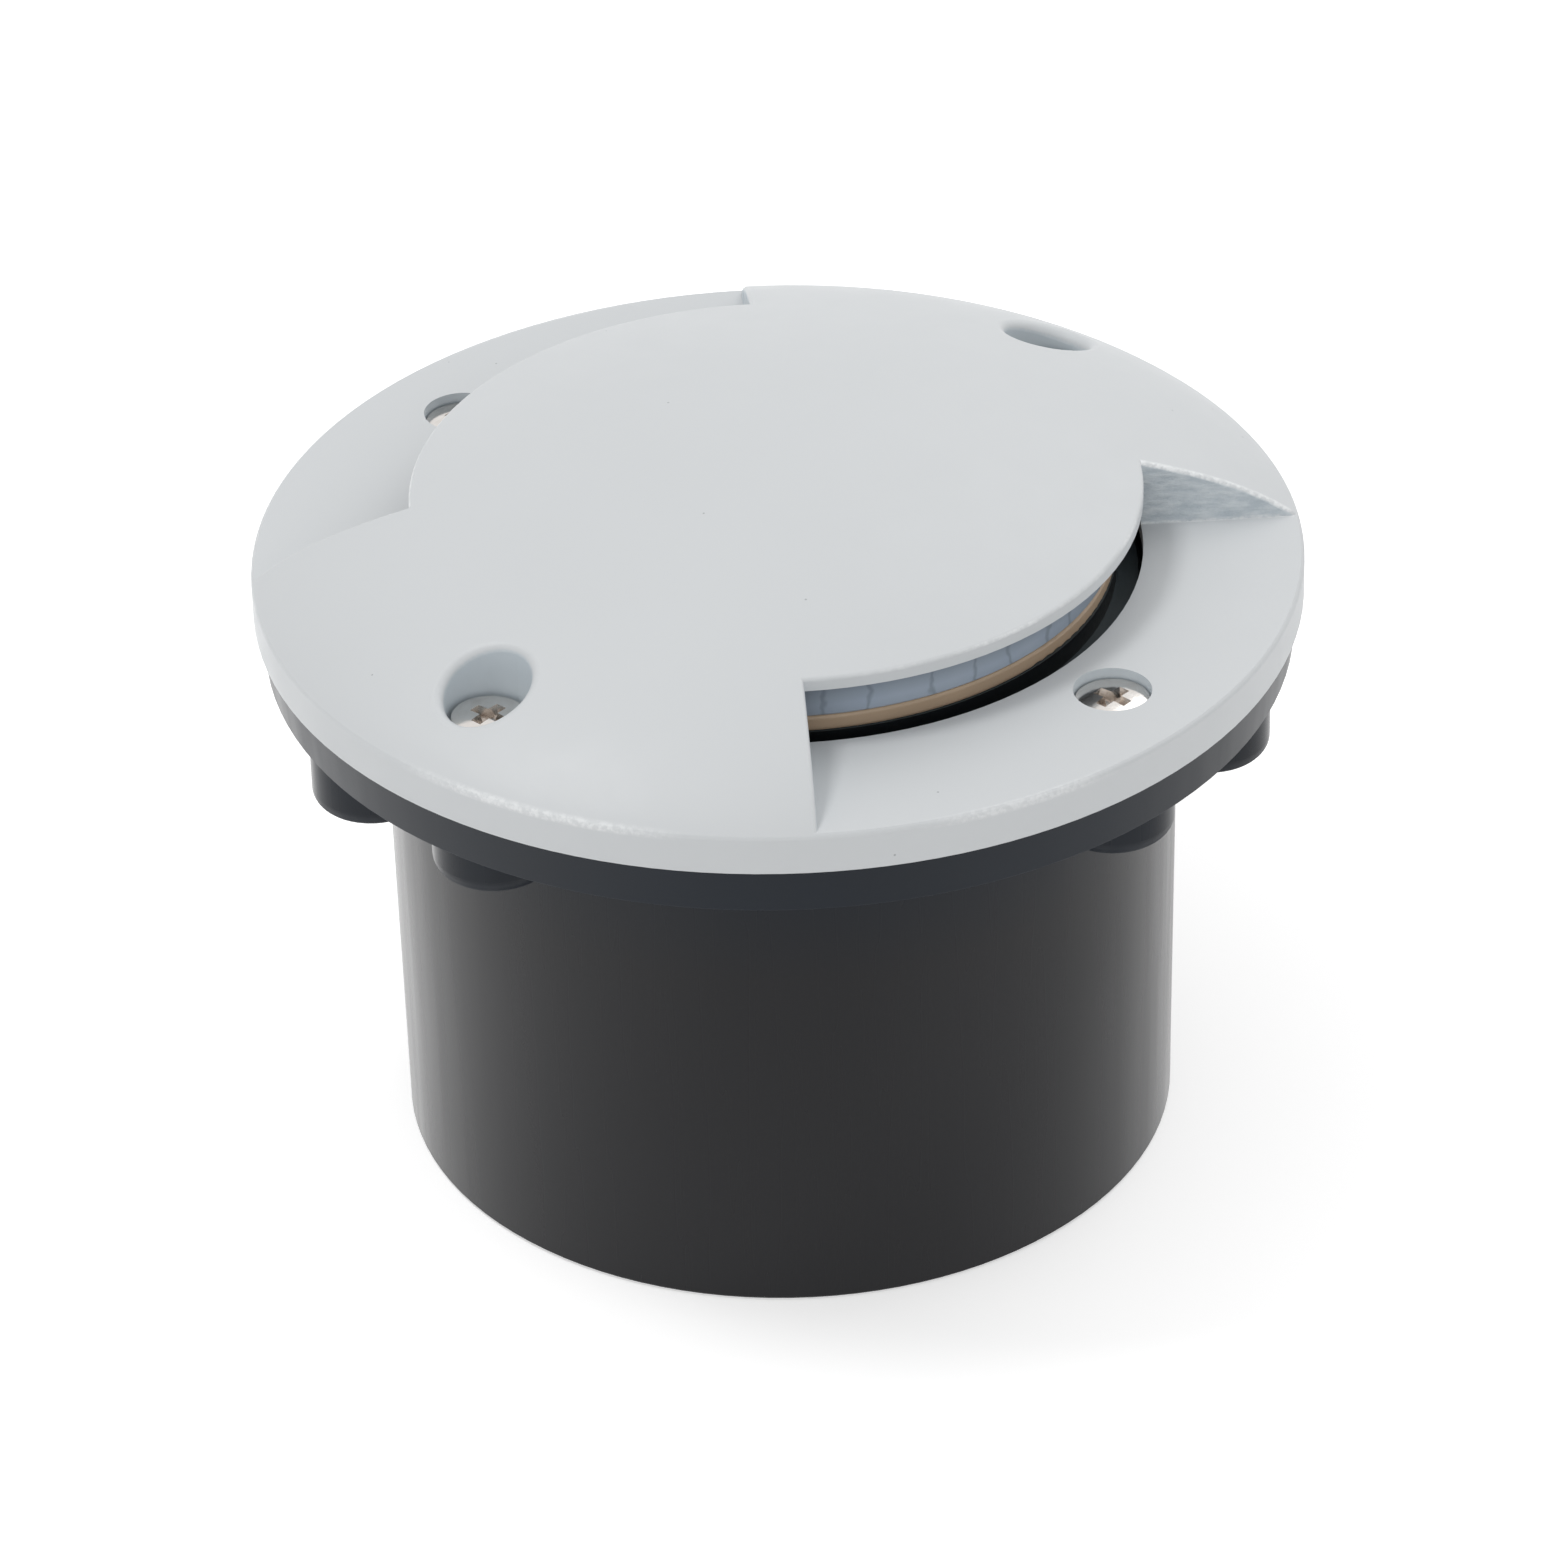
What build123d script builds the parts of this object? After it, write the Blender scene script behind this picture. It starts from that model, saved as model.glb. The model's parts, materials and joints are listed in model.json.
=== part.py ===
from build123d import *
from math import asin, atan2, cos, degrees, hypot, pi, radians, sin, sqrt
import os

os.makedirs("parts", exist_ok=True)

# An in ground light that throws its light out of two opposite windows in a domed cover.
# Z = 0 is the foot of the mounting sleeve, on its axis. The windows face -Y and +Y.
# All lengths are millimetres, all turns are degrees. "Level" values are heights above the seat,
# the plane where the cover meets the sleeve's flange. The widths stack up from the cover's edge inwards.

# ---- driving dimensions: the whole light
cover_radius = 75.0
sleeve_height = 85.6

# ---- driving dimensions: mounting sleeve
flange_inset = 0.7
flange_draft = 0.7
flange_width = 17.0
flange_height = 7.0
flange_edge_fillet = 0.3
flange_rim = 3.1
shelf_depth = 4.0
sleeve_draft = 0.9
sleeve_wall = 2.8
sleeve_foot_chamfer = 0.6
screw_boss_radius = 8.75
screw_boss_drop = 16.5
module_boss_drop = 18.5
boss_edge_fillet = 2.6
boss_floor = 1.2

# ---- driving dimensions: screw places
cover_screw_inset = 14.0
module_screw_outset = 2.0
module_screw_turn = 25.4
pocket_turns = (0.0, 180.0)
window_turns = (-90.0, 90.0)

# ---- driving dimensions: cover
cover_skirt = 2.6
crown_level = 24.5
lip_inset = 22.9
lip_level = 16.4
shoulder_inset = 4.1
shoulder_level = 8.7
rim_level = 5.6
rim_slope = 0.95
cover_wall = 1.9
crease_fillet = 0.7
lip_fillet = 0.6
window_half_turn = 45.25
window_wall_turn = 2.4
window_floor_inner_level = 6.2
window_floor_outer_level = 6.0
window_floor_wall = 2.4
pocket_foot_radius = 5.9
pocket_mouth_radius = 6.6
pocket_seat_level = 6.0
pocket_wall = 2.2
pocket_mouth_fillet = 1.3
floor_bore_radius = 5.5
floor_seat_level = 2.7
floor_boss_wall = 2.4

# ---- driving dimensions: fasteners (M5 for the cover, M4 for the lamp unit, M3 inside)
cover_screw_radius = 2.5
cover_screw_length = 16.0
cover_head_radius = 5.2
cover_head_side = 1.9
cover_head_crown = 0.4
module_screw_radius = 2.0
module_screw_length = 12.0
module_head_radius = 4.0
module_head_side = 1.9
module_head_crown = 0.9
small_screw_radius = 1.5
small_screw_length = 8.0
short_screw_length = 5.0
small_head_radius = 2.75
small_head_side = 1.6
small_head_crown = 0.7
small_cone_radius = 2.75
screw_tip_chamfer = 0.5
recess_span_share = 0.52
recess_width_share = 0.17
recess_depth_share = 0.7
recess_taper = 12.0
hole_clearance = 0.3
thread_clearance = 0.06
thread_end_clearance = 1.0

# ---- driving dimensions: brass inserts
insert_wall = 0.75
insert_length = 9.0
insert_groove_width = 1.2
insert_groove_depth = 0.35
insert_fit = 0.02

# ---- driving dimensions: lamp body
body_flange_gap = 0.6
body_flange_thickness = 3.0
body_collar_lap = 1.8
body_collar_height = 8.0
body_collar_step = 5.4
body_fin_depth = 4.6
body_fin_thickness = 2.4
body_fin_count = 24
optic_wall = 3.6
driver_wall = 2.4
lamp_shelf_level = -30.0
lamp_shelf_thickness = 4.0
driver_room = 20.0
body_foot_height = 9.0
wire_hole_radius = 3.2
wire_hole_gap = 3.8
standoff_radius = 3.6
standoff_height = 4.0
standoff_inset = 5.0
standoff_count = 3
standoff_turn = 50.0

# ---- driving dimensions: lens, its gasket and the ring that carries them
ring_gap = 0.4
ring_top_level = 2.4
ring_edge_chamfer = 0.4
ring_collar_inset = 3.5
ring_collar_wall = 4.6
ring_collar_height = 3.0
ring_spigot_inset = 2.2
ring_spigot_height = 1.5
ring_spigot_clearance = 0.1
ring_screw_inset = 0.6
ring_screw_turn = 28.0
ring_ear_radius = 3.6
ring_seal_width = 4.5
ring_seal_thickness = 1.5
gasket_width = 3.6
gasket_thickness = 2.4
gasket_edge_fillet = 0.5
lens_setback = 0.1
lens_thickness = 5.0
lens_edge_chamfer = 0.3

# ---- driving dimensions: light source and reflector
thermal_pad_thickness = 0.5
led_board_radius = 20.0
led_board_thickness = 1.6
led_board_screw_inset = 3.8
led_board_screw_count = 3
led_board_screw_turn = 60.0
led_base_radius = 9.4
led_base_thickness = 1.0
phosphor_radius = 7.0
phosphor_thickness = 0.6
reflector_foot_gap = 1.0
reflector_mouth_gap = 1.2
reflector_wall = 1.2
reflector_top_gap = 1.4
reflector_facets = 36
reflector_rings = 4

# ---- driving dimensions: driver
driver_board_gap = 4.2
driver_board_thickness = 1.6
transformer_length = 20.0
transformer_width = 16.0
transformer_height = 12.0
transformer_corner = 1.0
transformer_inset = 8.0
capacitor_radius = 4.5
capacitor_height = 11.0
capacitor_pitch = 12.0
capacitor_place = -17.0
capacitor_edge = 0.8
terminal_length = 16.0
terminal_width = 9.0
terminal_height = 9.0
terminal_inset = 13.5
terminal_screw_radius = 1.4
terminal_screw_pitch = 8.0
terminal_screw_sink = 0.4
terminal_wire_hole = 1.6
terminal_screw_length = 4.0
terminal_slot_width = 0.5
terminal_slot_depth = 0.6
lead_radius = 0.8
lead_spread = 1.6
lead_bend = 1.6
lead_pad = 3.0
grommet_clearance = 0.8
grommet_lip_width = 1.2
grommet_lip_height = 0.8

# ---- driving dimensions: base cap and cable gland
base_cap_thickness = 4.0
base_cap_chamfer = 1.0
base_spigot_height = 4.0
base_spigot_wall = 3.6
base_spigot_clearance = 0.1
base_seal_section = 0.7
base_seal_groove = 1.2
base_screw_inset = 3.5
base_screw_count = 4
base_screw_turn = 45.0
gland_boss_radius = 12.0
gland_boss_height = 3.0
gland_thread_radius = 8.0
gland_flats = 20.0
gland_hex_height = 5.0
gland_washer_thickness = 1.2
gland_washer_width = 1.8
gland_stem_wall = 1.8
gland_stem_height = 9.0
gland_nut_height = 12.0
gland_nut_gap = 0.6
gland_nut_crown = 2.0
gland_nut_end_gap = 0.4
gland_seal_wall = 1.6
cable_hole_radius = 4.0
cable_hole_margin = 0.5

# ---- widths that follow from them, from the outside in
flange_top_radius = cover_radius - flange_inset
flange_foot_radius = flange_top_radius - flange_draft
shelf_radius = flange_top_radius - flange_rim
sleeve_top_radius = flange_top_radius - flange_width
sleeve_foot_radius = sleeve_top_radius - sleeve_draft
cover_screw_circle = cover_radius - cover_screw_inset
module_screw_circle = cover_screw_circle + module_screw_outset
shoulder_radius = cover_radius - shoulder_inset
lip_radius = cover_radius - lip_inset
body_flange_radius = shelf_radius - body_flange_gap
ring_outer_radius = cover_screw_circle - pocket_mouth_radius - pocket_wall - ring_gap
ring_screw_circle = ring_outer_radius - ring_screw_inset
ring_collar_radius = ring_outer_radius - ring_collar_inset
ring_inner_radius = ring_collar_radius - ring_collar_wall
ring_spigot_radius = ring_collar_radius - ring_spigot_inset
ring_recess_radius = ring_spigot_radius + ring_spigot_clearance
lens_radius = ring_collar_radius - lens_setback
gasket_inner_radius = lens_radius - gasket_width
body_collar_radius = ring_outer_radius + body_collar_lap
body_fin_radius = body_collar_radius - body_collar_step
body_can_radius = body_fin_radius - body_fin_depth
optic_bore_radius = body_can_radius - optic_wall
driver_bore_radius = body_can_radius - driver_wall
reflector_foot_radius = led_base_radius + reflector_foot_gap
reflector_mouth_radius = optic_bore_radius - reflector_mouth_gap - reflector_wall
led_board_screw_circle = led_board_radius - led_board_screw_inset
wire_hole_reach = led_board_radius + wire_hole_gap + wire_hole_radius
driver_board_radius = driver_bore_radius - driver_board_gap
standoff_circle = driver_board_radius - standoff_inset
cover_hole_radius = cover_screw_radius + hole_clearance
module_hole_radius = module_screw_radius + hole_clearance
small_hole_radius = small_screw_radius + hole_clearance
small_thread_radius = small_screw_radius + thread_clearance
small_sink_radius = small_cone_radius + thread_clearance
transformer_place = driver_board_radius - transformer_inset - transformer_width / 2
terminal_place = driver_board_radius - terminal_inset - terminal_width / 2
base_screw_circle = body_fin_radius - base_screw_inset
gland_bore_radius = cable_hole_radius + gland_seal_wall
gland_stem_radius = gland_bore_radius + gland_stem_wall

# ---- levels and places that follow from them
seat = sleeve_height
flange_foot = seat - flange_height
shelf = seat - shelf_depth
body_flange_foot = seat - body_flange_thickness
ring_spigot_foot = seat - ring_spigot_height
ring_recess_foot = ring_spigot_foot - ring_seal_thickness
ring_top = seat + ring_top_level
ring_collar_top = ring_top + ring_collar_height
lens_foot = ring_collar_top + gasket_thickness
lamp_shelf = seat + lamp_shelf_level
lamp_shelf_foot = lamp_shelf - lamp_shelf_thickness
body_foot = lamp_shelf_foot - driver_room
board_top = lamp_shelf + thermal_pad_thickness + led_board_thickness
driver_board_top = lamp_shelf_foot - standoff_height
driver_board_foot = driver_board_top - driver_board_thickness
cap_foot = body_foot - base_cap_thickness
module_turns = (
    pocket_turns[0] - module_screw_turn,
    pocket_turns[1] - module_screw_turn,
    window_turns[0] + module_screw_turn,
    window_turns[1] + module_screw_turn,
)

# An edge is picked for its fillet when it lies this near to the place it is looked for.
near = 0.3


def around(radius, turns, height=0.0):
    """Points on a circle about the axis, one for each turn."""
    return [(radius * cos(radians(t)), radius * sin(radians(t)), height) for t in turns]


def even_turns(count, first):
    """Turns of a number of places spread evenly about the axis."""
    return [first + 360 * i / count for i in range(count)]


def meridian(turn):
    """The vertical half plane at one turn: its x runs outwards and its y runs up."""
    outwards = (cos(radians(turn)), sin(radians(turn)), 0)
    across = (sin(radians(turn)), -cos(radians(turn)), 0)
    return Plane(origin=(0, 0, 0), x_dir=outwards, z_dir=across)


# ---- fasteners
def pan_screw(radius, length, head_radius, side, crown):
    """A cross recess pan head screw whose head rests on Z = 0 and whose shank points down."""
    span = head_radius * recess_span_share
    slot = head_radius * 2 * recess_width_share
    depth = (side + crown) * recess_depth_share
    sphere = (head_radius**2 + crown**2) / (2 * crown)
    middle_turn = asin(head_radius / sphere) / 2
    crown_middle = (sphere * sin(middle_turn), side + crown - sphere * (1 - cos(middle_turn)))
    with BuildPart() as screw:
        with BuildSketch(Plane.XZ):
            with BuildLine():
                Polyline(
                    (0, side + crown),
                    (0, -length),
                    (radius - screw_tip_chamfer, -length),
                    (radius, -length + screw_tip_chamfer),
                    (radius, 0),
                    (head_radius, 0),
                    (head_radius, side),
                )
                ThreePointArc((head_radius, side), crown_middle, (0, side + crown))
            make_face()
        revolve(axis=Axis.Z)
        with BuildSketch(Plane.XY.offset(side + crown)):
            Rectangle(span * 2, slot)
            Rectangle(slot, span * 2)
        extrude(amount=-depth, taper=recess_taper, mode=Mode.SUBTRACT)
    return screw.part


def flush_screw(radius, length, cone_radius):
    """A countersunk cross recess screw whose head's top is at Z = 0."""
    cone = cone_radius - radius
    with BuildPart() as screw:
        with BuildSketch(Plane.XZ):
            with BuildLine():
                Polyline(
                    (0, 0),
                    (0, -length),
                    (radius - screw_tip_chamfer, -length),
                    (radius, -length + screw_tip_chamfer),
                    (radius, -cone),
                    (cone_radius, 0),
                    close=True,
                )
            make_face()
        revolve(axis=Axis.Z)
        with BuildSketch():
            Rectangle(cone_radius * 2 * recess_span_share, cone_radius * 2 * recess_width_share)
            Rectangle(cone_radius * 2 * recess_width_share, cone_radius * 2 * recess_span_share)
        extrude(amount=-cone, taper=recess_taper, mode=Mode.SUBTRACT)
    return screw.part


def insert_sleeve(screw_radius):
    """A grooved brass insert that hangs down from Z = 0."""
    outer = screw_radius + thread_clearance + insert_wall
    middle = -insert_length / 2
    with BuildPart() as insert:
        with BuildSketch():
            Circle(outer)
            Circle(screw_radius + thread_clearance, mode=Mode.SUBTRACT)
        extrude(amount=-insert_length)
        with BuildSketch(Plane.XY.offset(middle - insert_groove_width / 2)):
            Circle(outer)
            Circle(outer - insert_groove_depth, mode=Mode.SUBTRACT)
        extrude(amount=insert_groove_width, mode=Mode.SUBTRACT)
    return insert.part


cover_head = (cover_head_radius, cover_head_side, cover_head_crown)
module_head = (module_head_radius, module_head_side, module_head_crown)
small_head = (small_head_radius, small_head_side, small_head_crown)
cover_screw = pan_screw(cover_screw_radius, cover_screw_length, *cover_head)
module_screw = pan_screw(module_screw_radius, module_screw_length, *module_head)
small_screw = pan_screw(small_screw_radius, small_screw_length, *small_head)
short_screw = pan_screw(small_screw_radius, short_screw_length, *small_head)
small_flush_screw = flush_screw(small_screw_radius, small_screw_length, small_cone_radius)
short_flush_screw = flush_screw(small_screw_radius, short_screw_length, small_cone_radius)
cover_insert = insert_sleeve(cover_screw_radius)
module_insert = insert_sleeve(module_screw_radius)

cover_screw_places = around(cover_screw_circle, pocket_turns, seat + pocket_seat_level) + around(
    cover_screw_circle, window_turns, seat + floor_seat_level
)
with BuildPart() as cover_screws:
    for place in cover_screw_places:
        with Locations(place):
            add(cover_screw)
cover_screws.part.label = "cover_screws"
export_step(cover_screws.part, "parts/cover_screws.step")

with BuildPart() as cover_screw_inserts:
    for place in around(cover_screw_circle, pocket_turns + window_turns, shelf):
        with Locations(place):
            add(cover_insert)
cover_screw_inserts.part.label = "cover_screw_inserts"
export_step(cover_screw_inserts.part, "parts/cover_screw_inserts.step")

with BuildPart() as module_screw_inserts:
    for place in around(module_screw_circle, module_turns, shelf):
        with Locations(place):
            add(module_insert)
module_screw_inserts.part.label = "module_screw_inserts"
export_step(module_screw_inserts.part, "parts/module_screw_inserts.step")

with BuildPart() as module_screws:
    for place in around(module_screw_circle, module_turns, seat):
        with Locations(place):
            add(module_screw)
module_screws.part.label = "module_screws"
export_step(module_screws.part, "parts/module_screws.step")

# ---- mounting sleeve
with BuildPart() as mounting_sleeve:
    with BuildSketch(Plane.XY.offset(seat - screw_boss_drop)):
        with Locations(*around(cover_screw_circle, pocket_turns + window_turns)):
            Circle(screw_boss_radius)
    extrude(amount=screw_boss_drop - shelf_depth)
    fillet(mounting_sleeve.edges().group_by(Axis.Z)[0], radius=boss_edge_fillet)
    with BuildSketch(Plane.XY.offset(seat - module_boss_drop)):
        with Locations(*around(module_screw_circle, module_turns)):
            Circle(screw_boss_radius)
    extrude(amount=module_boss_drop - shelf_depth)
    fillet(mounting_sleeve.edges().group_by(Axis.Z)[0], radius=boss_edge_fillet)
    with BuildSketch(Plane.XZ):
        with BuildLine():
            Polyline(
                (0, 0),
                (sleeve_foot_radius - sleeve_foot_chamfer, 0),
                (sleeve_foot_radius, sleeve_foot_chamfer),
                (sleeve_top_radius, flange_foot),
                (flange_foot_radius - flange_edge_fillet, flange_foot),
            )
            ThreePointArc(
                (flange_foot_radius - flange_edge_fillet, flange_foot),
                (
                    flange_foot_radius - flange_edge_fillet * (1 - cos(pi / 4)),
                    flange_foot + flange_edge_fillet * (1 - sin(pi / 4)),
                ),
                (flange_foot_radius, flange_foot + flange_edge_fillet),
            )
            Polyline(
                (flange_foot_radius, flange_foot + flange_edge_fillet),
                (flange_top_radius, seat),
                (0, seat),
                (0, 0),
            )
        make_face()
    revolve(axis=Axis.Z)
    with BuildSketch(Plane.XZ):
        with BuildLine():
            Polyline(
                (0, 0),
                (sleeve_foot_radius - sleeve_wall, 0),
                (sleeve_top_radius - sleeve_wall, shelf),
                (shelf_radius, shelf),
                (shelf_radius, seat),
                (0, seat),
                close=True,
            )
        make_face()
    revolve(axis=Axis.Z, mode=Mode.SUBTRACT)
    for circle, turns, drop, screw in (
        (cover_screw_circle, pocket_turns + window_turns, screw_boss_drop, cover_screw_radius),
        (module_screw_circle, module_turns, module_boss_drop, module_screw_radius),
    ):
        insert_radius = screw + thread_clearance + insert_wall + insert_fit
        hole_depth = drop - shelf_depth - boss_floor
        with Locations(*around(circle, turns, shelf)):
            Hole(insert_radius, depth=hole_depth)
mounting_sleeve.part.label = "mounting_sleeve"
export_step(mounting_sleeve.part, "parts/mounting_sleeve.step")

with BuildPart() as flange_gasket:
    with BuildSketch(Plane.XY.offset(shelf)):
        Circle(body_flange_radius)
        Circle(sleeve_top_radius - sleeve_wall, mode=Mode.SUBTRACT)
        with Locations(*around(cover_screw_circle, pocket_turns + window_turns)):
            Circle(cover_hole_radius, mode=Mode.SUBTRACT)
        with Locations(*around(module_screw_circle, module_turns)):
            Circle(module_hole_radius, mode=Mode.SUBTRACT)
    extrude(amount=shelf_depth - body_flange_thickness)
flange_gasket.part.label = "flange_gasket"
export_step(flange_gasket.part, "parts/flange_gasket.step")


# ---- cover
def dome_line(drop):
    """The cover's outer meridian lowered by a drop, from the axis to the rim."""
    return Spline(
        (0, seat + crown_level - drop),
        (lip_radius, seat + lip_level - drop),
        (shoulder_radius, seat + shoulder_level - drop),
        (cover_radius, seat + rim_level - drop),
        tangents=[(1, 0), (1, -rim_slope)],
    )


with BuildPart() as cover_blank:
    with BuildSketch(Plane.XZ):
        with BuildLine():
            dome_line(0)
            Polyline(
                (cover_radius, seat + rim_level),
                (cover_radius, seat),
                (0, seat),
                (0, seat + crown_level),
            )
        make_face()
    revolve(axis=Axis.Z)

skirt_radius = cover_radius - cover_skirt
above_crown = seat + crown_level + cover_wall
beyond_rim = cover_radius + cover_wall
floor_outer = seat + window_floor_outer_level
floor_inner = seat + window_floor_inner_level
with BuildPart() as window_space:
    for turn in window_turns:
        with BuildSketch(meridian(turn - window_half_turn)):
            Polygon(
                (lip_radius, floor_inner),
                (beyond_rim, floor_outer),
                (beyond_rim, above_crown),
                (lip_radius, above_crown),
                align=None,
            )
        revolve(axis=Axis.Z, revolution_arc=2 * window_half_turn)

with BuildPart() as cover_hollow:
    with BuildSketch(Plane.XZ):
        with BuildLine():
            dome_line(cover_wall)
            Polyline(
                (cover_radius, seat + rim_level - cover_wall),
                (cover_radius, seat),
                (0, seat),
                (0, seat + crown_level - cover_wall),
            )
        make_face()
    revolve(axis=Axis.Z)
    with BuildSketch(Plane.XY.offset(seat)):
        Circle(beyond_rim)
        Circle(skirt_radius, mode=Mode.SUBTRACT)
    extrude(amount=crown_level, mode=Mode.SUBTRACT)
    for turn in window_turns:
        with BuildSketch(meridian(turn - window_half_turn - window_wall_turn)):
            Polygon(
                (lip_radius, floor_inner - window_floor_wall),
                (beyond_rim, floor_outer - window_floor_wall),
                (beyond_rim, above_crown),
                (lip_radius, above_crown),
                align=None,
            )
        revolve(axis=Axis.Z, revolution_arc=2 * (window_half_turn + window_wall_turn), mode=Mode.SUBTRACT)
    with BuildSketch(Plane.XY.offset(seat)):
        with Locations(*around(cover_screw_circle, pocket_turns)):
            Circle(pocket_mouth_radius + pocket_wall)
        with Locations(*around(cover_screw_circle, window_turns)):
            Circle(floor_bore_radius + floor_boss_wall)
    extrude(amount=crown_level, mode=Mode.SUBTRACT)

def reach(edge):
    """How far an edge's middle lies from the axis."""
    middle = edge @ 0.5
    return hypot(middle.X, middle.Y)


def level(edge):
    """How far an edge's middle lies above the seat."""
    return (edge @ 0.5).Z - seat


def off_window(edge):
    """The turn from the nearest window's centre line to an edge's middle."""
    middle = edge @ 0.5
    return degrees(atan2(abs(middle.X), abs(middle.Y)))


def in_pocket(edge):
    """Whether an edge runs round a pocket's mouth."""
    middle = edge @ 0.5
    off_axis = hypot(abs(middle.X) - cover_screw_circle, middle.Y)
    return off_axis < pocket_mouth_radius and level(edge) > pocket_seat_level + near


with BuildPart() as cover:
    add(cover_blank.part)
    add(window_space.part, mode=Mode.SUBTRACT)
    add(cover_hollow.part, mode=Mode.SUBTRACT)
    for place in around(cover_screw_circle, pocket_turns):
        with BuildSketch(Plane.XY.offset(seat + pocket_seat_level)):
            with Locations(place):
                Circle(pocket_foot_radius)
        with BuildSketch(Plane.XY.offset(seat + crown_level)):
            with Locations(place):
                Circle(pocket_mouth_radius)
        loft(mode=Mode.SUBTRACT)
    with Locations(*around(cover_screw_circle, window_turns, seat + floor_seat_level)):
        Cylinder(
            floor_bore_radius,
            crown_level,
            align=(Align.CENTER, Align.CENTER, Align.MIN),
            mode=Mode.SUBTRACT,
        )
    with Locations(*around(cover_screw_circle, pocket_turns + window_turns, seat)):
        Cylinder(
            cover_hole_radius,
            crown_level,
            align=(Align.CENTER, Align.CENTER, Align.CENTER),
            mode=Mode.SUBTRACT,
        )
    side_edges = cover.edges().filter_by(lambda e: abs(off_window(e) - window_half_turn) < near)
    lip_edges = cover.edges().filter_by(lambda e: abs(reach(e) - lip_radius) < near)
    wall_tops = side_edges.filter_by(GeomType.BSPLINE)
    lip_tops = lip_edges.filter_by(lambda e: abs(level(e) - lip_level) < near)
    fillet(wall_tops + lip_tops, radius=lip_fillet)
    creases = cover.edges().filter_by(lambda e: abs(reach(e) - cover_radius) < near)
    fillet(creases.filter_by(lambda e: abs(level(e) - rim_level) < near), radius=crease_fillet)
    mouths = cover.edges().filter_by(GeomType.BSPLINE).filter_by(in_pocket)
    fillet(mouths, radius=pocket_mouth_fillet)
cover.part.label = "cover"
export_step(cover.part, "parts/cover.step")

# ---- lamp body
ring_screw_turns = [middle + side * ring_screw_turn for middle in pocket_turns for side in (-1, 1)]
standoff_turns = even_turns(standoff_count, standoff_turn)
base_screw_turns = even_turns(base_screw_count, base_screw_turn)
with BuildPart() as lamp_body:
    with BuildSketch(Plane.XZ):
        Polygon(
            (0, body_foot),
            (body_fin_radius, body_foot),
            (body_fin_radius, body_foot + body_foot_height),
            (body_can_radius, body_foot + body_foot_height),
            (body_can_radius, body_flange_foot - body_collar_height),
            (body_collar_radius, body_flange_foot - body_collar_height),
            (body_collar_radius, body_flange_foot),
            (body_flange_radius, body_flange_foot),
            (body_flange_radius, seat),
            (0, seat),
            align=None,
        )
    revolve(axis=Axis.Z)
    with BuildSketch(Plane.XY.offset(body_foot)):
        with PolarLocations((body_can_radius + body_fin_radius) / 2, body_fin_count):
            Rectangle(body_fin_radius - body_can_radius + body_fin_thickness, body_fin_thickness)
        Circle(body_fin_radius, mode=Mode.INTERSECT)
    extrude(amount=body_flange_foot - body_foot)
    with BuildSketch(Plane.XZ):
        Polygon(
            (0, lamp_shelf),
            (optic_bore_radius, lamp_shelf),
            (optic_bore_radius, ring_recess_foot),
            (ring_recess_radius, ring_recess_foot),
            (ring_recess_radius, seat),
            (0, seat),
            align=None,
        )
    revolve(axis=Axis.Z, mode=Mode.SUBTRACT)
    with BuildSketch(Plane.XY.offset(body_foot)):
        Circle(driver_bore_radius)
    extrude(amount=driver_room, mode=Mode.SUBTRACT)
    with BuildSketch(Plane.XY.offset(driver_board_top)):
        with Locations(*around(standoff_circle, standoff_turns)):
            Circle(standoff_radius)
            Circle(small_thread_radius, mode=Mode.SUBTRACT)
    extrude(amount=standoff_height)
    with Locations((wire_hole_reach, 0, lamp_shelf)):
        Hole(wire_hole_radius, depth=lamp_shelf_thickness)
    with Locations(*around(cover_screw_circle, pocket_turns + window_turns, seat)):
        Hole(cover_hole_radius, depth=body_flange_thickness)
    with Locations(*around(module_screw_circle, module_turns, seat)):
        Hole(module_hole_radius, depth=body_flange_thickness)
    ring_thread = small_screw_length - ring_top_level + thread_end_clearance
    with Locations(*around(ring_screw_circle, ring_screw_turns, seat)):
        Hole(small_thread_radius, depth=ring_thread)
    board_screw_turns = even_turns(led_board_screw_count, led_board_screw_turn)
    with Locations(*around(led_board_screw_circle, board_screw_turns, lamp_shelf)):
        Hole(small_thread_radius, depth=lamp_shelf_thickness)
    cap_thread = small_screw_length - base_cap_thickness + thread_end_clearance
    with Locations(*around(base_screw_circle, base_screw_turns, body_foot + cap_thread)):
        Hole(small_thread_radius, depth=cap_thread)
lamp_body.part.label = "lamp_body"
export_step(lamp_body.part, "parts/lamp_body.step")

# ---- lens: a thick disc bedded in silicone on the collar of a ring with four ears
with BuildPart() as lens:
    with BuildSketch(Plane.XY.offset(lens_foot)):
        Circle(lens_radius)
    extrude(amount=lens_thickness)
    chamfer(lens.edges().filter_by(GeomType.CIRCLE), length=lens_edge_chamfer)
lens.part.label = "lens"
export_step(lens.part, "parts/lens.step")

with BuildPart() as lens_gasket:
    with BuildSketch(Plane.XY.offset(ring_collar_top)):
        Circle(lens_radius)
        Circle(gasket_inner_radius, mode=Mode.SUBTRACT)
    extrude(amount=gasket_thickness)
    gasket_rims = lens_gasket.edges().filter_by(GeomType.CIRCLE)
    fillet(gasket_rims.filter_by(lambda e: reach(e) > lens_radius - near), radius=gasket_edge_fillet)
lens_gasket.part.label = "lens_gasket"
export_step(lens_gasket.part, "parts/lens_gasket.step")

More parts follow.
